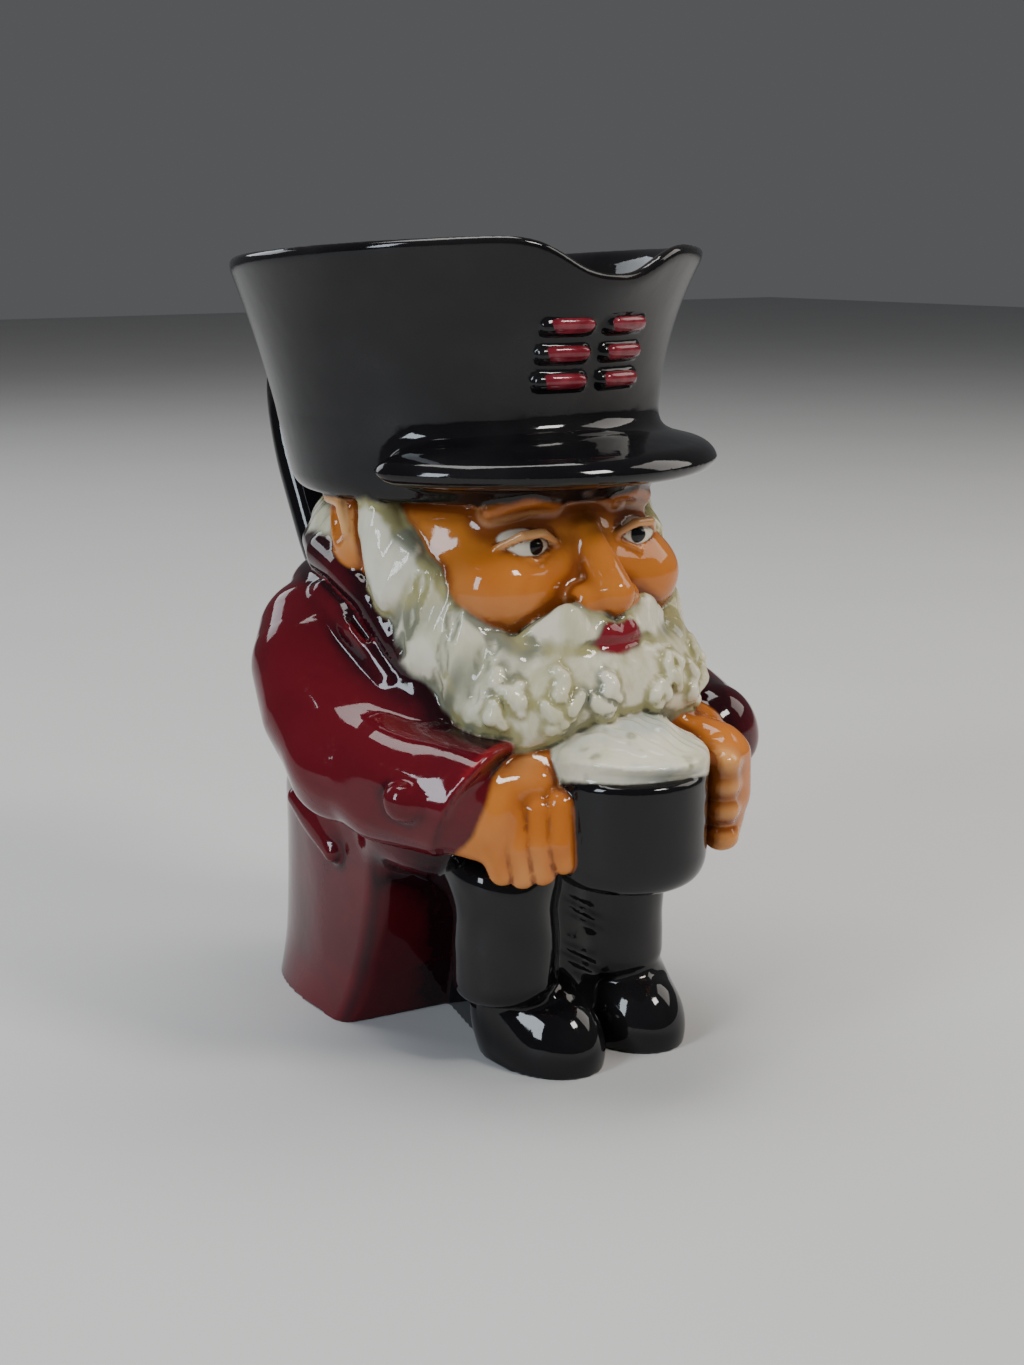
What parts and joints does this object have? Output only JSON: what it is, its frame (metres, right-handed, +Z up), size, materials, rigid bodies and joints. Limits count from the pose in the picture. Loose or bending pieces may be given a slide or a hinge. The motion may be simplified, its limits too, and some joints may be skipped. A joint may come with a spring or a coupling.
{
  "type": "toby jug",
  "caption": "Glazed earthenware jug shaped as a seated bearded man in a peaked cap holding a mug; the cap is the open mouth, with a front pouring dip and a loop handle behind.",
  "frame": {"origin": "centre of the bounding box at the underside, on the surface the jug stands on", "axes": "+Z up, the figure faces -Y, the handle is on +Y, the figure's right hand is on -X"},
  "size_m": [0.1002, 0.1358, 0.1581],
  "materials": {
    "painted_glaze": "gloss"
  },
  "bodies": {
    "root": {"toby_jug": "painted_glaze"}
  },
  "joints": []
}
